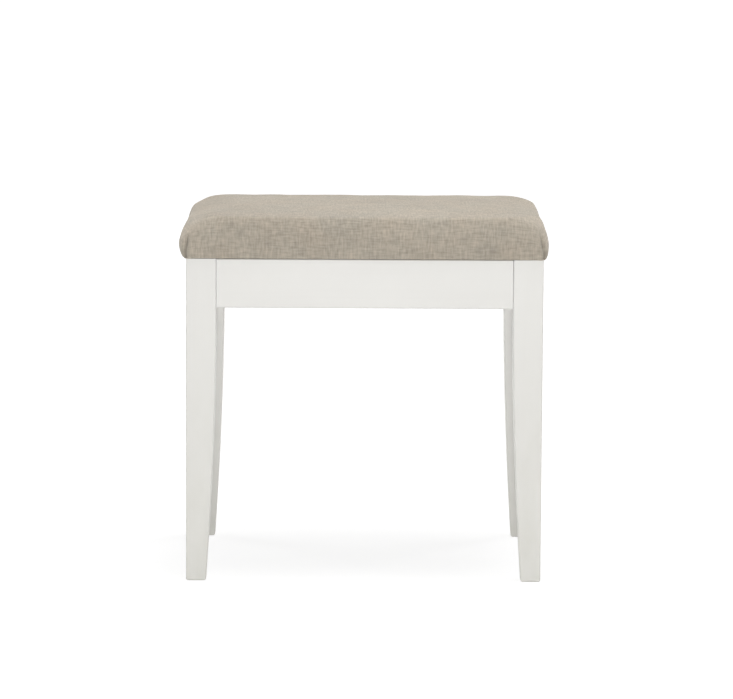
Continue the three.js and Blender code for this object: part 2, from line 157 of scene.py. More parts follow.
# Seat pad: layers that the linen reads. The weave turns down the sides below the top's edge
MAP_NAME = "weave"
PLEAT_NAME = "pleat"
MAP_DROP = EDGE_RUN / 4

# Seat pad: how the fabric lies at the corners and along its lower edge
PLEAT_DEPTH = 0.0030
PLEAT_WIDTH = 0.0024
PLEAT_HEIGHTS = (0.014, 0.036)
LIP_RISE = 0.0009
LIP_WIDTH = 0.006
CORNER_REACH = 0.045
EDGE_DROOP = 0.0007
MIDDLE_DROOP = 0.0003
CORNER_DROOP = 0.001
DROOP_WIDTH = 0.006
DROOP_HEIGHTS = (0.003, 0.013)
DROOP_OUTSETS = (-0.0005, 0.0008)
UNEVEN_RISE = 0.0002
UNEVEN_WAVES = ((0.19, 0.11, 0.3), (0.083, 0.14, 1.9), (0.061, 0.052, 4.1))

# Dust cover
DUST_STEPS = (72, 52)
DUST_SAG = 0.0022
DUST_PUCKER = 0.0006
STAPLE_PITCH = 0.045
PUCKER_REACH = 0.018

# Materials. A noise has a scale, a detail, a roughness and a distortion, and a bump has a distance
# and a strength. A stretch is a scale for each axis. A span is the part of a value that is used.
NOISE_SPAN = (0.35, 0.65)
NOISE_WIDE = (0.3, 0.7)
NOISE_TOPS = (0.55, 0.75)

# Paint over wood
PAINT_LOW = (0.747, 0.737, 0.703)
PAINT_HIGH = (0.771, 0.760, 0.728)
PAINT_CLOUD_NOISE = (7.0, 3.0)
PAINT_ROUGHNESS = (0.38, 0.48)
ACROSS_GRAIN = 90.0
ALONG_GRAIN = 2.5
GRAIN_NOISE = (1.0, 4.0, 0.6)
GRAIN_SPAN = (0.5, 0.75)
GRAIN_SHARE = 0.35
GRAIN_BUMP = (0.0002, 0.5)
PAINT_GRAIN = (0.728, 0.714, 0.679)
STROKE_FINENESS = 6
STROKE_NOISE = (1.0, 2.0)
STROKE_BUMP = (0.00006, 0.5)
SKIN_NOISE = (420.0, 2.0)
SKIN_BUMP = (0.00005, 0.4)
SCUFF_STRETCH = (60, 60, 25)
SCUFF_NOISE = (1.0, 4.0)
SCUFF_SPAN = (0.35, 0.7)
# Painted shade towards the floor, with scuffs in patches
LOW_SHADE_HEIGHT = 0.36
SCUFF_AND_SHADE_SHARES = (0.4, 0.6)
PAINT_SHADE_AND_SCUFFS = (0.670, 0.661, 0.609)
# Painted highlight along the rounded edges, partly rubbed paint
ARRIS_RADIUS = 0.0012
ARRIS_SAMPLES = 4
ARRIS_TURN = (0.97, 0.80)
WEAR_AND_HIGHLIGHT_SHARES = (0.2, 0.6)
WEAR_ROUGHNESS = 0.2
PAINT_RUBBED_HIGHLIGHT = (0.880, 0.872, 0.842)
# Painted light in the joints between the legs and the rails
JOINT_LIGHT_WIDTHS = (0.0015, 0.0008)
PAINT_JOINT_LIGHT = (0.875, 0.868, 0.848)

# Bare wood
PINE = {
    "stretch": (4, 70, 70),
    "low": (0.62, 0.43, 0.24),
    "high": (0.74, 0.56, 0.35),
    "fleck": (0.50, 0.33, 0.18),
    "roughness": 0.66,
}
BEECH = {
    "stretch": (8, 160, 160),
    "low": (0.60, 0.42, 0.28),
    "high": (0.68, 0.50, 0.35),
    "fleck": (0.45, 0.29, 0.18),
    "roughness": 0.6,
}
RING_NOISE = (1.0, 3.0, 0.55, 0.4)
PORE_NOISE = (1.0, 2.0)
PORE_FINENESS = 8
PORE_SHARE = 0.5
WOOD_BUMP = (0.0002, 0.6)
WOOD_SWING = 0.06

# Plywood
PLY_THICKNESS = 0.0013
PLY_LIGHT = (0.66, 0.50, 0.33)
PLY_FACE = (0.73, 0.58, 0.41)
PLY_DARK = (0.48, 0.33, 0.19)
PLY_STRETCH = (4, 60, 60)
PLY_NOISE = (1.0, 3.0, 0.55, 0.5)
PLY_EDGE_SPAN = (-0.3, 0.3)
PLY_ROUGHNESS = (0.58, 0.7)

# Zinc-plated steel
ZINC_DARK = (0.60, 0.61, 0.62)
ZINC_LIGHT = (0.74, 0.75, 0.75)
ZINC_DULL = (0.52, 0.52, 0.50)
ZINC_DULL_SHARE = 0.5
ZINC_CRYSTALS = 900.0
ZINC_PATCH_NOISE = (160.0, 3.0)
ZINC_BUMP = (0.00005, 0.5)
ZINC_ROUGHNESS = (0.28, 0.45)

# Felt
FELT_DARK = (0.012, 0.012, 0.013)
FELT_LIGHT = (0.030, 0.030, 0.031)
FELT_WORN = (0.045, 0.044, 0.043)
FELT_WORN_SPAN = (0.4, 0.7)
FELT_WORN_SHARE = 0.4
FELT_FIBRE_NOISE = (900.0, 4.0, 0.7, 1.5)
FELT_CLOUD_NOISE = (60.0, 3.0)
FELT_DOT_PITCH = 0.0016
FELT_DOT_SPAN = (0.4, 0.8)
FELT_BUMP = (0.0002, 0.7)
FELT_ROUGHNESS = (0.95, 0.8)
FELT_SPECULAR = 0.3

# Linen: yarns. Salts keep noises that share a place apart
YARN_PITCH = 0.0009
YARN_SPREAD = 5.17
YARN_NOISE = (1.0, 2.0)
YARN_DEPTH = 0.06
YARN_WIDTH_SPAN = (0.35, 0.7)
YARN_WIDTHS = (0.85, 1.15)
WARP_SALT = 0.0
WEFT_SALT = 7.3
DRIFT_NOISE = (45.0, 3.0)
WEAVE_DRIFT = 1.2
WEAVE_WAVE = 0.45
WEAVE_BUMP = (0.00025, 0.8)
# Painted shade between the yarns, where the weave is low
WEAVE_SHADE_SPAN = (0.3, 1.1)
WEAVE_SHADE_DEPTH = 0.35

# Linen: slubs and tones
SLUB_LENGTH = 0.018
SLUB_BUMP = (0.00025, 0.6)
STREAK_WIDTH = 0.0023
STREAK_LENGTH = 0.013
STREAK_NOISE = (1.0, 1.0)
UPRIGHT_SALT = 3.1
UPRIGHT_SPAN = (0.35, 0.72)
UPRIGHT_DEPTH = 0.105
LEVEL_SALT = 11.7
LEVEL_SPAN = (0.3, 0.68)
LEVEL_DEPTH = 0.085
CLOUD_NOISE = (14.0, 3.0)
CLOUD_DEPTH = 0.06
# Painted shade deep in the corner pleats
PLEAT_SHADE_DEPTH = 0.3
WARMTH_NOISE = (23.0, 2.0)
LINEN_COOL = (0.457, 0.413, 0.343)
LINEN_WARM = (0.474, 0.415, 0.337)
LINEN_WARP = (0.530, 0.470, 0.385)
WARP_SHARE = 0.35
LINEN_ROUGHNESS = (0.82, 0.95)
LINEN_SPECULAR = 0.25
LINEN_SHEEN = 0.18
LINEN_SHEEN_ROUGHNESS = 0.45


def quadratic_falloff(share):
    """1 in the middle of a side and 0 at its ends, for a share from -1 to 1."""
    return 1 - np.clip(np.abs(share), 0, 1) ** 2


def smooth(value, low, high):
    """0 below low, 1 above high, and a soft step between them."""
    share = np.clip((value - low) / (high - low), 0, 1)
    return share * share * (3 - 2 * share)


def bezier(points, steps):
    """Places on a cubic curve, without its first point."""
    a, b, c, d = (np.array(p) for p in points)
    t = np.linspace(0, 1, steps + 1)[1:, None]
    return (1 - t) ** 3 * a + 3 * (1 - t) ** 2 * t * b + 3 * (1 - t) * t**2 * c + t**3 * d


def side_shares(steps):
    """Shares from 0 to 1 along one side, closer together near its two corners."""
    even = np.linspace(0, 1, steps + 1)
    return even - CORNER_CROWDING * np.sin(2 * np.pi * even) / (2 * np.pi)


def side_points(half_long, half_short, radius, shares):
    """Points of one side of a rounded rectangle, from the middle of one corner's arc to the next.
    The side runs along +X at -half_short."""
    arc = radius * np.pi / 4
    straight = 2 * (half_long - radius)
    along = shares * (straight + 2 * arc)
    first = along < arc
    last = along > arc + straight
    x = along - arc - straight / 2
    y = np.full_like(along, -half_short)
    for mask, sign, angle in (
        (first, -1, (arc - along) / radius),
        (last, 1, (along - arc - straight) / radius),
    ):
        x[mask] = sign * (half_long - radius + radius * np.sin(angle[mask]))
        y[mask] = -half_short + radius * (1 - np.cos(angle[mask]))
    return np.stack([x, y], axis=1)


def ring(outset, height, radius):
    """One closed outline of the pad, counter-clockwise from the middle of its front left corner."""
    half_x = HALF_WIDTH + outset
    half_y = HALF_DEPTH + outset
    width_shares = side_shares(WIDTH_STEPS)[:-1]
    depth_shares = side_shares(DEPTH_STEPS)[:-1]
    front = side_points(half_x, half_y, radius, width_shares)
    right = side_points(half_y, half_x, radius, depth_shares)
    right = np.stack([-right[:, 1], right[:, 0]], axis=1)
    flat = np.concatenate([front, right, -front, -right])
    return np.column_stack([flat, np.full(len(flat), height)])


def profile():
    """Outset, height and plan corner radius of each ring, from the top's edge down to the pocket
    that holds the seat board."""
    edge_start = BULGE - EDGE_RUN
    top = [(edge_start, PAD_HEIGHT)]
    edge = bezier(
        [
            (edge_start, PAD_HEIGHT),
            (edge_start + EDGE_SOFTNESS, PAD_HEIGHT),
            (BULGE, BULGE_HEIGHT + EDGE_RISE),
            (BULGE, BULGE_HEIGHT),
        ],
        EDGE_STEPS,
    )
    tuck = bezier(
        [
            (BULGE, BULGE_HEIGHT),
            (BULGE, BULGE_HEIGHT - TUCK_RISE),
            (TUCK_HANDLE - TUCK_INSET, 0),
            (-TUCK_INSET, 0),
        ],
        TUCK_STEPS,
    )
    hem_shares = np.linspace(0, 1, HEM_STEPS + 1)[1:]
    hem = [(-TUCK_INSET - (HEM_WIDTH - TUCK_INSET) * share, 0) for share in hem_shares]
    board_edge = BOARD_HIGH.x - HALF_WIDTH + POCKET_CLEARANCE
    pocket = [
        (-HEM_WIDTH, FABRIC_THICKNESS),
        (board_edge, FABRIC_THICKNESS),
        (board_edge, BOARD_HIGH.z + POCKET_CLEARANCE - PAD_BASE),
    ]
    rows = []
    for outset, height in [*top, *edge]:
        share = min((BULGE - outset) / EDGE_RUN, 1) ** CORNER_EASE
        rows.append((outset, height, BULGE_CORNER + (TOP_CORNER - BULGE_CORNER) * share))
    for outset, height in tuck:
        share = height / BULGE_HEIGHT
        rows.append((outset, height, HEM_CORNER + (BULGE_CORNER - HEM_CORNER) * share))
    rows += [(outset, height, HEM_CORNER) for outset, height in hem]
    rows += [(outset, height, BOARD_CORNER) for outset, height in pocket]
    return rows


def shaped(points):
    """The pad's points, with its sides drawn in, its top crowned and its edges dipped between the
    corners."""
    x, y, height = points.T
    half_x = HALF_WIDTH + BULGE
    half_y = HALF_DEPTH + BULGE
    share_x = x / half_x
    share_y = y / half_y
    low = np.clip(height / BULGE_HEIGHT, 0, 1)
    high = np.clip((height - BULGE_HEIGHT) / (PAD_HEIGHT - BULGE_HEIGHT), 0, 1)
    draw = SIDE_DRAW * low
    middle_x = quadratic_falloff(share_x)
    middle_y = quadratic_falloff(share_y)
    side_x = np.abs(share_x) ** DRAW_POWER
    side_y = np.abs(share_y) ** DRAW_POWER
    proud = np.where(height < BULGE_HEIGHT, np.clip((np.abs(y) - HALF_DEPTH) / BULGE, 0, 1), 1)
    face = FACE_TOP_OUT * high - FACE_BULGE_IN * proud * (1 - high)
    face *= 1 - np.abs(share_x) ** FACE_POWER
    drawn_x = x - np.sign(x) * draw * side_x * middle_y
    drawn_y = y + np.sign(y) * side_y * (face - draw * middle_x)
    crown = CROWN_RISE * middle_x * middle_y
    dip = EDGE_DIP * (middle_x * side_y + middle_y * side_x)
    left = x < 0
    sag = np.exp(-(((np.abs(x) - HALF_WIDTH) / SAG_REACH) ** 2))
    sag *= np.where(left, LEFT_SAG, RIGHT_SAG)
    lift = crown - dip - sag - FRONT_RISE * share_y
    lift *= np.clip(height / PAD_HEIGHT, 0, 1) ** LIFT_POWER
    left_fullness = -LEFT_FULLNESS - LEFT_LEAN * share_y
    right_fullness = RIGHT_FULLNESS + RIGHT_LEAN * share_y
    fuller = np.where(left, left_fullness, right_fullness) * np.abs(share_x) ** FULLNESS_POWER
    return np.column_stack([drawn_x + fuller * low, drawn_y, PAD_BASE + height + lift])


def top_patch(edge):
    """Grid of points inside a closed outline of four sides, blended from its four sides."""
    nx, ny = WIDTH_STEPS, DEPTH_STEPS
    front = edge[: nx + 1]
    right = edge[nx : nx + ny + 1]
    back = edge[nx + ny : 2 * nx + ny + 1][::-1]
    left = np.concatenate([edge[2 * nx + ny :], edge[:1]])[::-1]
    u = side_shares(nx)[:, None, None]
    v = side_shares(ny)[None, :, None]
    across = (1 - v) * front[:, None] + v * back[:, None]
    along = (1 - u) * left[None] + u * right[None]
    corners = (
        (1 - u) * (1 - v) * front[0]
        + u * (1 - v) * front[-1]
        + (1 - u) * v * back[0]
        + u * v * back[-1]
    )
    return across + along - corners


def patch_index(i, j, ring_start, inner_start):
    """Index of a point in the grid of a patch, whose rim is a ring and whose inner points follow
    one another column by column."""
    nx, ny = WIDTH_STEPS, DEPTH_STEPS
    count = 2 * (nx + ny)
    if j == 0:
        return ring_start + i
    if i == nx:
        return ring_start + nx + j
    if j == ny:
        return ring_start + 2 * nx + ny - i
    if i == 0:
        return ring_start + (count - j) % count
    return inner_start + (i - 1) * (ny - 1) + j - 1


def pad_mesh(inset):
    """Vertices and faces of the closed pad. Its rings come first, then the inside of the top and of
    the pocket. Above the hem the surface lies inside its full shape by an inset."""
    count = 2 * (WIDTH_STEPS + DEPTH_STEPS)
    rings = []
    for outset, height, radius in profile():
        over_hem = outset > -TUCK_INSET or height > BULGE_HEIGHT
        moved = inset * min(height / BULGE_HEIGHT, 1) if over_hem else 0
        lowered = moved if height > BULGE_HEIGHT else 0
        rings.append(ring(outset - moved, max(height - lowered, 0), radius))
    faces = []
    for level in range(len(rings) - 1):
        for i in range(count):
            here = level * count + i
            after = level * count + (i + 1) % count
            faces.append((here, here + count, after + count, after))
    points = [np.concatenate(rings)]
    for level, outward in ((0, True), (len(rings) - 1, False)):
        inner_start = sum(len(p) for p in points)
        points.append(top_patch(rings[level])[1:-1, 1:-1].reshape(-1, 3))
        for i in range(WIDTH_STEPS):
            for j in range(DEPTH_STEPS):
                square = ((i, j), (i + 1, j), (i + 1, j + 1), (i, j + 1))
                face = [patch_index(*corner, level * count, inner_start) for corner in square]
                faces.append(face if outward else face[::-1])
    return shaped(np.concatenate(points)), faces


def new_piece(name, points, faces):
    mesh = bpy.data.meshes.new(name)
    mesh.from_pydata([tuple(p) for p in points], [], faces)
    mesh.update()
    piece = bpy.data.objects.new(name, mesh)
    bpy.context.scene.collection.objects.link(piece)
    return piece


def inflate(piece):
    """Cloth under pressure over the foam. The hem and the pocket are held fast, the rest gives a
    little, and no point moves further than a cap."""
    start = np.array([v.co for v in piece.data.vertices])
    height = start[:, 2] - PAD_BASE
    over_board_x = np.abs(start[:, 0]) < BOARD_HIGH.x + BOARD_MARGIN
    over_board_y = np.abs(start[:, 1]) < BOARD_HIGH.y + BOARD_MARGIN
    pocket = over_board_x & over_board_y & (height < POCKET_TOP)
    hold = np.where(pocket, 1, 1 - (1 - FOAM_HOLD) * smooth(height, *HELD_HEIGHTS))
    held = piece.vertex_groups.new(name="held")
    for index, weight in enumerate(hold):
        held.add([index], float(weight), "REPLACE")
    cloth = piece.modifiers.new("cloth", "CLOTH")
    settings = cloth.settings
    settings.vertex_group_mass = "held"
    settings.quality = CLOTH_QUALITY
    settings.mass = CLOTH_MASS
    settings.pin_stiffness = PIN_STIFFNESS
    settings.tension_stiffness = CLOTH_STIFFNESS
    settings.compression_stiffness = CLOTH_STIFFNESS
    settings.shear_stiffness = CLOTH_SHEAR
    settings.bending_stiffness = CLOTH_BENDING
    settings.use_pressure = True
    settings.uniform_pressure_force = PRESSURE
    settings.effector_weights.gravity = 0
    cloth.point_cache.frame_start = 1
    cloth.point_cache.frame_end = CLOTH_FRAMES
    scene = bpy.context.scene
    for step in range(1, CLOTH_FRAMES + 1):
        scene.frame_set(step)
    evaluated = piece.evaluated_get(bpy.context.evaluated_depsgraph_get())
    moved = np.array([v.co for v in evaluated.data.vertices]) - start
    piece.modifiers.clear()
    piece.vertex_groups.clear()
    scene.frame_set(1)
    length = np.linalg.norm(moved, axis=1)
    moved *= (MOVE_CAP / np.maximum(length, MOVE_CAP))[:, None]
    piece.data.vertices.foreach_set("co", (start + moved).astype(np.float32).ravel())
    piece.data.update()


def fold_fabric(points, normals):
    """Points of the pad with an uneven surface, a pleat at each corner and a lower edge that droops
    a little, and how deep each point lies in a pleat, from 0 to 1."""
    x, y, z = points.T
    height = z - PAD_BASE
    side_x = np.where(x < 0, -1, 1)
    side_y = np.where(y < 0, -1, 1)
    outset_x = side_x * x - HALF_WIDTH
    outset_y = side_y * y - HALF_DEPTH
    outset = np.maximum(outset_x, outset_y)
    outer = (height > DROOP_HEIGHTS[0]) & ((outset > -HEM_WIDTH) | (height > POCKET_TOP))
    uneven = sum(
        np.sin(2 * np.pi * x / wave_x + phase) * np.sin(2 * np.pi * (y + height) / wave_y + phase)
        for wave_x, wave_y, phase in UNEVEN_WAVES
    )
    moved = points + normals * (UNEVEN_RISE * uneven * outer)[:, None]
    # Across the corner's diagonal: below zero on the side, above zero on the front or back
    across = (outset_y - outset_x) / math.sqrt(2)
    near = (outset_x > -CORNER_REACH) & (outset_y > -CORNER_REACH) & (outset > -HEM_WIDTH / 2)
    low = 1 - smooth(height, *PLEAT_HEIGHTS)
    lip = LIP_RISE * np.exp(across / LIP_WIDTH) * (across < 0)
    pleat = np.exp(-((across / PLEAT_WIDTH) ** 2)) * low * near * outer
    fold = lip * low * near * outer - PLEAT_DEPTH * pleat
    moved += fold[:, None] * np.column_stack([side_x, side_y, np.zeros_like(x)]) / math.sqrt(2)
    along = np.where(outset_y > outset_x, x / HALF_WIDTH, y / HALF_DEPTH)
    droop = EDGE_DROOP + MIDDLE_DROOP * quadratic_falloff(along)
    droop += CORNER_DROOP * np.exp(-((across / DROOP_WIDTH) ** 2)) * near
    droop *= smooth(outset, *DROOP_OUTSETS) * (1 - smooth(height, *DROOP_HEIGHTS))
    moved[:, 2] -= droop
    return moved, pleat


def weave_map(mesh):
    """A map in metres that follows the fabric: over the top, and straight down each side."""
    count = len(mesh.polygons)
    normals = np.empty(count * 3, np.float32)
    mesh.polygons.foreach_get("normal", normals)
    normals = np.abs(normals.reshape(-1, 3))
    sizes = np.empty(count, np.int32)
    mesh.polygons.foreach_get("loop_total", sizes)
    corner = np.empty(len(mesh.loops), np.int32)
    mesh.loops.foreach_get("vertex_index", corner)
    points = np.empty(len(mesh.vertices) * 3, np.float32)
    mesh.vertices.foreach_get("co", points)
    x, y, z = points.reshape(-1, 3)[corner].T
    down = np.maximum(PAD_BASE + PAD_HEIGHT - MAP_DROP - z, 0)
    front = np.repeat(normals[:, 1] >= normals[:, 0], sizes)
    u = x * (1 + ~front * down / HALF_WIDTH)
    v = y * (1 + front * down / HALF_DEPTH)
    layer = mesh.uv_layers.new(name=MAP_NAME)
    layer.data.foreach_set("uv", np.column_stack([u, v]).astype(np.float32).ravel())


def make_cushion():
    """The seat pad."""
    points, faces = pad_mesh(START_INSET)
    cushion = new_piece("seat_cushion", points, faces)
    inflate(cushion)
    subdivide = cushion.modifiers.new("smooth", "SUBSURF")
    subdivide.levels = subdivide.render_levels = SUBDIVISIONS
    evaluated = cushion.evaluated_get(bpy.context.evaluated_depsgraph_get())
    fine = bpy.data.meshes.new_from_object(evaluated)
    cushion.modifiers.clear()
    cushion.data = fine
    fine.name = "seat_cushion"
    points = np.array([v.co for v in fine.vertices])
    normals = np.array([v.normal for v in fine.vertices])
    points, pleat = fold_fabric(points, normals)
    fine.vertices.foreach_set("co", points.astype(np.float32).ravel())
    depth = fine.attributes.new(PLEAT_NAME, "FLOAT", "POINT")
    depth.data.foreach_set("value", pleat.astype(np.float32))
    fine.update()
    fine.shade_smooth()
    weave_map(fine)
    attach(cushion, "root")
    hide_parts("fabric_cover", "foam_pad")
    return cushion


def make_dust_cover():
    """Black felt under the seat board, held along its edges and slack in between."""
    half_x, half_y = DUST_HIGH.x, DUST_HIGH.y
    thickness = DUST_HIGH.z - DUST_LOW.z
    nx, ny = DUST_STEPS
    columns, rows = np.linspace(-1, 1, nx + 1), np.linspace(-1, 1, ny + 1)
    share_x, share_y = np.meshgrid(columns, rows, indexing="ij")
    x, y = share_x * half_x, share_y * half_y
    inward = np.minimum(half_x - np.abs(x), half_y - np.abs(y))
    along = np.where(half_x - np.abs(x) < half_y - np.abs(y), y, x)
    pucker = (1 - np.cos(2 * np.pi * along / STAPLE_PITCH)) / 2 * np.exp(-inward / PUCKER_REACH)
    sag = DUST_SAG * quadratic_falloff(share_x) * quadratic_falloff(share_y) + DUST_PUCKER * pucker
    top = np.stack([x, y, DUST_HIGH.z - sag], axis=-1).reshape(-1, 3)
    bottom = top - [0, 0, thickness]
    row = ny + 1
    faces = []
    for i in range(nx):
        for j in range(ny):
            face = (i * row + j, (i + 1) * row + j, (i + 1) * row + j + 1, i * row + j + 1)
            faces.append(face)
            faces.append(tuple(index + len(top) for index in face[::-1]))
    rim = [i * row for i in range(nx + 1)] + [nx * row + j for j in range(1, ny + 1)]
    rim += [i * row + ny for i in range(nx - 1, -1, -1)] + list(range(ny - 1, 0, -1))
    for here, after in zip(rim, rim[1:] + rim[:1]):
        faces.append((after, here, here + len(top), after + len(top)))
    sheet = new_piece("dust_cover_felt", np.concatenate([top, bottom]), faces)
    sheet.data.shade_smooth()
    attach(sheet, "root")
    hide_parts("dust_cover")
    return sheet


class Graph:
    """The nodes of a world or a material, with short calls that add one and give its output."""

    def __init__(self, tree):
        self.tree = tree

    def feed(self, socket, value):
        """Link an input to an output, or give it a value."""
        if isinstance(value, bpy.types.NodeSocket):
            self.tree.links.new(value, socket)
        elif value is not None:
            socket.default_value = value

    def node(self, kind, inputs=(), **settings):
        made = self.tree.nodes.new(kind)
        for key, value in settings.items():
            setattr(made, key, value)
        for key, value in dict(inputs).items():
            self.feed(made.inputs[key], value)
        return made

    def math(self, operation, *values):
        return self.node("ShaderNodeMath", enumerate(values), operation=operation).outputs[0]

    def total(self, first, *others):
        for value in others:
            first = self.math("ADD", first, value)
        return first

    def vector(self, operation, *values):
        return self.node("ShaderNodeVectorMath", enumerate(values), operation=operation).outputs[0]

    def measure(self, operation, *vectors):
        """A number from vectors, such as a length."""
        made = self.node("ShaderNodeVectorMath", enumerate(vectors), operation=operation)
        return made.outputs["Value"]

    def split(self, vector):
        return self.node("ShaderNodeSeparateXYZ", {0: vector}).outputs

    def normal(self):
        return self.node("ShaderNodeNewGeometry").outputs["Normal"]

    def place(self, stretch=None):
        """Coordinates of the stool itself in metres, or stretched by a scale for each axis."""
        here = self.node("ShaderNodeTexCoord").outputs["Object"]
        return self.vector("MULTIPLY", here, stretch) if stretch else here

    def noise(self, place, scale, detail, roughness=0.5, distortion=0.0):
        inputs = {
            "Vector": place,
            "Scale": scale,
            "Detail": detail,
            "Roughness": roughness,
            "Distortion": distortion,
        }
        return self.node("ShaderNodeTexNoise", inputs).outputs["Fac"]

    def remap(self, value, low, high, to_low=0.0, to_high=1.0):
        inputs = {0: value, 1: low, 2: high, 3: to_low, 4: to_high}
        return self.node("ShaderNodeMapRange", inputs, clamp=True).outputs[0]

    def swing(self, value, low, high, depth):
        """A share of tone between -depth and depth."""
        return self.remap(value, low, high, -depth, depth)

    def choose(self, share, low, high):
        """A number between two others."""
        return self.node("ShaderNodeMix", {0: share, 2: low, 3: high}).outputs[0]

    def mix(self, share, low, high):
        """A colour between two others."""
        made = self.node("ShaderNodeMix", data_type="RGBA")
        sockets = {socket.name: socket for socket in made.inputs if socket.enabled}
        self.feed(sockets["Factor"], share)
        for key, color in (("A", low), ("B", high)):
            self.feed(sockets[key], (*color, 1) if isinstance(color, tuple) else color)
        return next(socket for socket in made.outputs if socket.enabled)

    def bump(self, height, distance, strength, normal=None):
        inputs = {"Height": height, "Distance": distance, "Strength": strength, "Normal": normal}
        return self.node("ShaderNodeBump", inputs).outputs[0]


class Material(Graph):
    """A material with its own nodes, among them a Principled shader."""

    def __init__(self, name):
        self.material = bpy.data.materials.new(name)
        self.material.use_nodes = True
        super().__init__(self.material.node_tree)

    def shade(self, **inputs):
        """Feed the shader's inputs, and give back the material."""
        shader = self.tree.nodes["Principled BSDF"]
        for key, value in inputs.items():
            self.feed(shader.inputs[key.replace("_", " ")], value)
        return self.material


def painted_wood(name, grain_axis):
    """Satin white paint over wood whose grain runs along one axis."""
    g = Material(name)
    stretch = [ACROSS_GRAIN] * 3
    stretch[grain_axis] = ALONG_GRAIN
    grain = g.noise(g.place(stretch), *GRAIN_NOISE)
    strokes = g.noise(g.place([value * STROKE_FINENESS for value in stretch]), *STROKE_NOISE)
    skin = g.noise(g.place(), *SKIN_NOISE)
    cloud = g.noise(g.place(), *PAINT_CLOUD_NOISE)
    color = g.mix(g.remap(cloud, *NOISE_SPAN), PAINT_LOW, PAINT_HIGH)
    color = g.mix(g.remap(grain, *GRAIN_SPAN, 0.0, GRAIN_SHARE), color, PAINT_GRAIN)
    # Painted shade that deepens towards the floor, broken up by scuffs in patches
    place = g.split(g.place())
    scuffs = g.remap(g.noise(g.place(SCUFF_STRETCH), *SCUFF_NOISE), *SCUFF_SPAN)
    scuff_share, even_shade_share = SCUFF_AND_SHADE_SHARES
    shade_near_floor = g.remap(place["Z"], 0.0, LOW_SHADE_HEIGHT, 1.0, 0.0)
    scuffs_and_shade = g.math("ADD", g.math("MULTIPLY", scuffs, scuff_share), even_shade_share)
    color = g.mix(g.math("MULTIPLY", shade_near_floor, scuffs_and_shade), color, PAINT_SHADE_AND_SCUFFS)
    # Painted highlight along the edges, partly paint rubbed smooth: there the rounded normal turns
    # away from the real one
    rounded = g.node("ShaderNodeBevel", {"Radius": ARRIS_RADIUS}, samples=ARRIS_SAMPLES).outputs[0]
    at_edge = g.remap(g.measure("DOT_PRODUCT", rounded, g.normal()), *ARRIS_TURN)
    rubbed_and_lit = g.math("MULTIPLY", at_edge, g.remap(scuffs, 0.0, 1.0, *WEAR_AND_HIGHLIGHT_SHARES))
    color = g.mix(rubbed_and_lit, color, PAINT_RUBBED_HIGHLIGHT)
    # Painted light in the joints between the legs and the rails, which lifts the shade of their
    # groove
    from_joints = [
        g.math("ABSOLUTE", g.math("SUBTRACT", g.math("ABSOLUTE", place[axis]), joint))
        for axis, joint in (("X", JOINT_X), ("Y", JOINT_Y))
    ]
    in_joint = g.remap(g.math("MINIMUM", *from_joints), *JOINT_LIGHT_WIDTHS)
    joint_light = g.math("MULTIPLY", in_joint, g.math("GREATER_THAN", place["Z"], RAIL_LOW))
    color = g.mix(joint_light, color, PAINT_JOINT_LIGHT)
    relief = g.bump(grain, *GRAIN_BUMP)
    relief = g.bump(strokes, *STROKE_BUMP, relief)
    relief = g.bump(skin, *SKIN_BUMP, relief)
    roughness = g.remap(cloud, *NOISE_WIDE, *PAINT_ROUGHNESS)
    roughness = g.math("ADD", roughness, g.math("MULTIPLY", rubbed_and_lit, WEAR_ROUGHNESS))
    return g.shade(Base_Color=color, Roughness=roughness, Normal=relief)


def bare_wood(name, turn, stretch, low, high, fleck, roughness):
    """Unpainted wood: rings stretched along the grain, with fine pores between them. The grain runs
    along X after a turn about Z."""
    g = Material(name)
    mapping = {"Vector": g.place(), "Rotation": (0, 0, turn)}
    turned = g.node("ShaderNodeMapping", mapping).outputs[0]
    fine = [value * PORE_FINENESS for value in stretch]
    rings = g.noise(g.vector("MULTIPLY", turned, stretch), *RING_NOISE)
    pores = g.noise(g.vector("MULTIPLY", turned, fine), *PORE_NOISE)
    color = g.mix(g.remap(rings, *NOISE_SPAN), low, high)
    color = g.mix(g.remap(pores, *NOISE_TOPS, 0.0, PORE_SHARE), color, fleck)
    relief = g.bump(g.math("ADD", rings, pores), *WOOD_BUMP)
    rough = g.remap(rings, *NOISE_WIDE, roughness - WOOD_SWING, roughness + WOOD_SWING)
    return g.shade(Base_Color=color, Roughness=rough, Normal=relief)


def plywood(name):
    """Birch plywood: face grain along X, and thin plies that show at the edge."""
    g = Material(name)
    rings = g.noise(g.place(PLY_STRETCH), *PLY_NOISE)
    height = g.math("SUBTRACT", g.split(g.place())["Z"], BOARD_LOW.z)
    plies = g.math("SINE", g.math("MULTIPLY", height, math.pi / PLY_THICKNESS))
    upward = g.math("ABSOLUTE", g.split(g.normal())["Z"])
    at_edge = g.math("MULTIPLY", g.remap(plies, *PLY_EDGE_SPAN), g.math("SUBTRACT", 1.0, upward))
    color = g.mix(g.remap(rings, *NOISE_SPAN), PLY_LIGHT, PLY_FACE)
    color = g.mix(at_edge, color, PLY_DARK)
    relief = g.bump(rings, *WOOD_BUMP)
    roughness = g.remap(rings, *NOISE_WIDE, *PLY_ROUGHNESS)
    return g.shade(Base_Color=color, Roughness=roughness, Normal=relief)


def zinc_plate(name):
    """Zinc-plated steel, with a fine crystal tone and dull patches."""
    g = Material(name)
    crystals = g.node("ShaderNodeTexVoronoi", {"Vector": g.place(), "Scale": ZINC_CRYSTALS})
    tint = g.split(crystals.outputs["Color"])["X"]
    patches = g.noise(g.place(), *ZINC_PATCH_NOISE)
    color = g.mix(tint, ZINC_DARK, ZINC_LIGHT)
    color = g.mix(g.remap(patches, *NOISE_TOPS, 0.0, ZINC_DULL_SHARE), color, ZINC_DULL)
    relief = g.bump(patches, *ZINC_BUMP)
    roughness = g.remap(patches, *NOISE_WIDE, *ZINC_ROUGHNESS)
    return g.shade(Base_Color=color, Roughness=roughness, Metallic=1.0, Normal=relief)


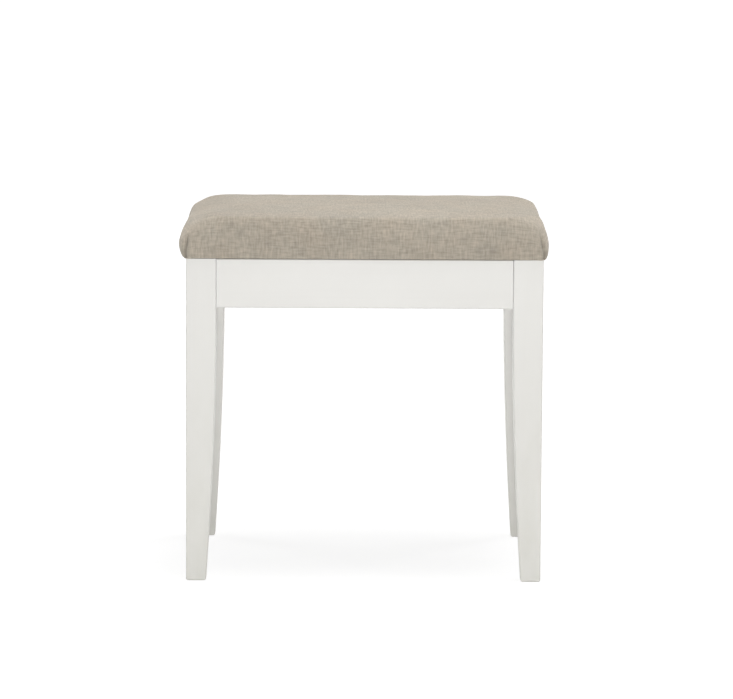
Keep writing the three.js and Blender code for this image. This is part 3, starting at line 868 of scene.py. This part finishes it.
def felt(name):
    """Thin black non-woven felt, pressed in a fine dot grid."""
    g = Material(name)
    fibres = g.noise(g.place(), *FELT_FIBRE_NOISE)
    cloud = g.noise(g.place(), *FELT_CLOUD_NOISE)
    place = g.split(g.place())
    rate = 2 * math.pi / FELT_DOT_PITCH
    waves = [g.math("SINE", g.math("MULTIPLY", place[axis], rate)) for axis in "XY"]
    pressed = g.remap(g.math("MULTIPLY", *waves), *FELT_DOT_SPAN)
    color = g.mix(g.remap(fibres, *NOISE_SPAN), FELT_DARK, FELT_LIGHT)
    color = g.mix(g.remap(cloud, *FELT_WORN_SPAN, 0.0, FELT_WORN_SHARE), color, FELT_WORN)
    relief = g.bump(g.math("SUBTRACT", fibres, pressed), *FELT_BUMP)
    roughness = g.remap(pressed, 0.0, 1.0, *FELT_ROUGHNESS)
    return g.shade(
        Base_Color=color,
        Roughness=roughness,
        Normal=relief,
        Specular_IOR_Level=FELT_SPECULAR,
    )


def linen(name):
    """Plain weave of slubby yarn in stone grey and sand. Its map runs in metres."""
    g = Material(name)
    place = g.node("ShaderNodeUVMap", uv_map=MAP_NAME).outputs["UV"]
    split = g.split(place)
    x, y = split["X"], split["Y"]
    drift = g.swing(g.noise(place, *DRIFT_NOISE), 0.0, 1.0, WEAVE_DRIFT)
    warp = g.math("ADD", g.math("DIVIDE", x, YARN_PITCH), drift)
    weft = g.math("SUBTRACT", g.math("DIVIDE", y, YARN_PITCH), drift)
    warp_number, weft_number = g.math("FLOOR", warp), g.math("FLOOR", weft)

    def yarn_tone(number, way, salt):
        """Noise that changes from yarn to yarn and slowly along each yarn."""
        across = g.math("MULTIPLY", number, YARN_SPREAD)
        along = g.math("MULTIPLY", way, 1 / SLUB_LENGTH)
        where = g.node("ShaderNodeCombineXYZ", {0: across, 1: along, 2: salt}).outputs[0]
        return g.noise(where, *YARN_NOISE)

    def yarn_height(own, number, other, wave_depth, tone):
        """Height of a round yarn that goes over and under the others."""
        from_middle = g.math("SUBTRACT", g.math("SUBTRACT", own, number), 0.5)
        width = g.remap(tone, *YARN_WIDTH_SPAN, *YARN_WIDTHS)
        share = g.math("DIVIDE", g.math("MULTIPLY", from_middle, 2.0), width)
        left = g.math("SUBTRACT", 1.0, g.math("MULTIPLY", share, share))
        round_top = g.math("SQRT", g.math("MAXIMUM", left, 0.0))
        wave = g.math("SINE", g.math("MULTIPLY", g.math("ADD", other, number), math.pi))
        return g.math("ADD", round_top, g.math("MULTIPLY", wave, wave_depth))

    def streaks(width, height, salt):
        """Noise in streaks of a width along the map's X and a height along its Y."""
        stretched = g.vector("MULTIPLY", place, (1 / width, 1 / height, 1))
        return g.noise(g.vector("ADD", stretched, (salt, salt, salt)), *STREAK_NOISE)

    warp_tone = yarn_tone(warp_number, y, WARP_SALT)
    weft_tone = yarn_tone(weft_number, x, WEFT_SALT)
    warp_height = yarn_height(warp, warp_number, weft, WEAVE_WAVE, warp_tone)
    weft_height = yarn_height(weft, weft_number, warp, -WEAVE_WAVE, weft_tone)
    height = g.math("MAXIMUM", warp_height, weft_height)
    warp_shows = g.math("GREATER_THAN", warp_height, weft_height)
    own = g.choose(warp_shows, weft_tone, warp_tone)
    upright = streaks(STREAK_WIDTH, STREAK_LENGTH, UPRIGHT_SALT)
    level = streaks(STREAK_LENGTH, STREAK_WIDTH, LEVEL_SALT)
    tone = g.total(
        g.swing(upright, *UPRIGHT_SPAN, UPRIGHT_DEPTH),
        g.swing(level, *LEVEL_SPAN, LEVEL_DEPTH),
        g.swing(g.noise(g.place(), *CLOUD_NOISE), *NOISE_WIDE, CLOUD_DEPTH),
        g.swing(own, *NOISE_WIDE, YARN_DEPTH),
        # Painted shade between the yarns
        g.remap(height, *WEAVE_SHADE_SPAN, -WEAVE_SHADE_DEPTH, 0.0),
        1.0,
    )
    # Painted shade deep in the corner pleats
    pleat = g.node("ShaderNodeAttribute", attribute_name=PLEAT_NAME).outputs["Fac"]
    pleat_shade = g.math("SUBTRACT", 1.0, g.math("MULTIPLY", pleat, PLEAT_SHADE_DEPTH))
    tone = g.math("MULTIPLY", tone, pleat_shade)
    warmth = g.remap(g.noise(g.place(), *WARMTH_NOISE), *NOISE_SPAN)
    dye = g.mix(warmth, LINEN_COOL, LINEN_WARM)
    dye = g.mix(g.math("MULTIPLY", warp_shows, WARP_SHARE), dye, LINEN_WARP)
    toned = g.node("ShaderNodeVectorMath", {0: dye, "Scale": tone}, operation="SCALE")
    relief = g.bump(height, *WEAVE_BUMP)
    relief = g.bump(g.math("ADD", upright, level), *SLUB_BUMP, relief)
    return g.shade(
        Base_Color=toned.outputs[0],
        Roughness=g.remap(own, *NOISE_WIDE, *LINEN_ROUGHNESS),
        Normal=relief,
        Specular_IOR_Level=LINEN_SPECULAR,
        Sheen_Weight=LINEN_SHEEN,
        Sheen_Roughness=LINEN_SHEEN_ROUGHNESS,
    )


def assign(material, names):
    """Give CAD nodes a material in place of their own."""
    for name in names:
        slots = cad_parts[name].material_slots
        if not slots:
            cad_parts[name].data.materials.append(material)
        for slot in slots:
            slot.material = material


def make_camera():
    data = bpy.data.cameras.new("camera")
    data.lens = CAMERA_LENS
    data.sensor_width = CAMERA_SENSOR
    data.clip_end = CAMERA_REACH
    camera = bpy.data.objects.new("camera", data)
    turn = (
        Matrix.Rotation(-CAMERA_YAW, 4, "Z")
        @ Matrix.Rotation(math.pi / 2 - CAMERA_PITCH, 4, "X")
        @ Matrix.Rotation(CAMERA_ROLL, 4, "Z")
    )
    camera.matrix_world = Matrix.Translation(CAMERA_PLACE) @ turn
    bpy.context.scene.collection.objects.link(camera)
    bpy.context.scene.camera = camera


def seen_share(g):
    """1 for camera, glossy and transmission rays, and 0 for the light that falls on the object."""
    rays = g.node("ShaderNodeLightPath").outputs
    share = rays["Is Camera Ray"]
    for name in ("Is Glossy Ray", "Is Transmission Ray"):
        share = g.math("MAXIMUM", share, rays[name])
    return share


def grey(level):
    return (level, level, level, 1)


def make_world():
    """White where it is seen, and a soft light from all round on the object."""
    world = bpy.data.worlds.new("studio")
    bpy.context.scene.world = world
    world.use_nodes = True
    world.node_tree.nodes.clear()
    g = Graph(world.node_tree)
    ambient = g.node("ShaderNodeBackground", {"Color": grey(1), "Strength": AMBIENT}).outputs[0]
    backdrop = g.node("ShaderNodeBackground", {"Color": grey(1)}).outputs[0]
    mixed = g.node("ShaderNodeMixShader", {0: seen_share(g), 1: ambient, 2: backdrop}).outputs[0]
    g.node("ShaderNodeOutputWorld", {"Surface": mixed})


def make_floor():
    """Pale floor: it bounces light on the stool, and looks white where no shadow falls."""
    half = FLOOR_SIZE / 2
    corners = [(-half, -half, 0), (half, -half, 0), (half, half, 0), (-half, half, 0)]
    floor = new_piece("floor", corners, [(0, 1, 2, 3)])
    g = Material("pale_floor")
    bounce = g.node("ShaderNodeBsdfDiffuse", {"Color": grey(FLOOR_BOUNCE)}).outputs[0]
    pale = g.node("ShaderNodeBsdfDiffuse", {"Color": grey(FLOOR_PALE)}).outputs[0]
    level = g.remap(g.measure("LENGTH", g.place()), *GLOW_REACH, FLOOR_GLOW, FAR_GLOW)
    glow = g.node("ShaderNodeEmission", {"Strength": level}).outputs[0]
    seen = g.node("ShaderNodeAddShader", {0: pale, 1: glow}).outputs[0]
    mixed = g.node("ShaderNodeMixShader", {0: seen_share(g), 1: bounce, 2: seen}).outputs[0]
    g.feed(g.tree.nodes["Material Output"].inputs["Surface"], mixed)
    floor.data.materials.append(g.material)


def make_lamp(name, place, size, power):
    data = bpy.data.lights.new(name, "AREA")
    data.shape = "SQUARE"
    data.size = size
    data.energy = power
    lamp = bpy.data.objects.new(name, data)
    lamp.location = place
    lamp.rotation_mode = "QUATERNION"
    lamp.rotation_quaternion = (LAMP_AIM - place).to_track_quat("-Z", "Y")
    lamp.visible_camera = False
    bpy.context.scene.collection.objects.link(lamp)


make_camera()
make_world()
make_floor()
make_lamp("top_lamp", TOP_LAMP_PLACE, TOP_LAMP_SIZE, TOP_LAMP_POWER)
make_lamp("front_lamp", FRONT_LAMP_PLACE, FRONT_LAMP_SIZE, FRONT_LAMP_POWER)
make_lamp("left_lamp", LEFT_LAMP_PLACE, SIDE_LAMP_SIZE, SIDE_LAMP_POWER)
make_lamp("right_lamp", RIGHT_LAMP_PLACE, SIDE_LAMP_SIZE, SIDE_LAMP_POWER)
bpy.context.scene.view_settings.view_transform = "Standard"

cushion = make_cushion()
cushion.data.materials.append(linen("linen"))

dust_cover = make_dust_cover()
dust_cover.data.materials.append(felt("felt"))

nodes = sorted(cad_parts)
legs = [name for name in nodes if name.startswith("leg_")]
assign(painted_wood("paint_legs", 2), legs)
assign(painted_wood("paint_front_rails", 0), ["rail_front", "rail_back"])
assign(painted_wood("paint_side_rails", 1), ["rail_left", "rail_right"])
for slope, turn, corners in (
    ("rising", -math.pi / 4, ("front_right", "back_left")),
    ("falling", math.pi / 4, ("front_left", "back_right")),
):
    blocks = [f"corner_block_{corner}" for corner in corners]
    assign(bare_wood(f"pine_{slope}", turn, **PINE), blocks)
for side, turn in (("front", 0), ("back", 0), ("left", math.pi / 2), ("right", math.pi / 2)):
    dowels = [name for name in nodes if name.startswith("dowel_") and f"_{side}_rail_" in name]
    assign(bare_wood(f"beech_{side}_rail", turn, **BEECH), dowels)
assign(plywood("plywood"), ["seat_board"])
steel_names = ("hanger_bolt_", "washer_", "nut_", "seat_screw_", "block_screw_")
assign(zinc_plate("zinc_plate"), [name for name in nodes if name.startswith(steel_names)])
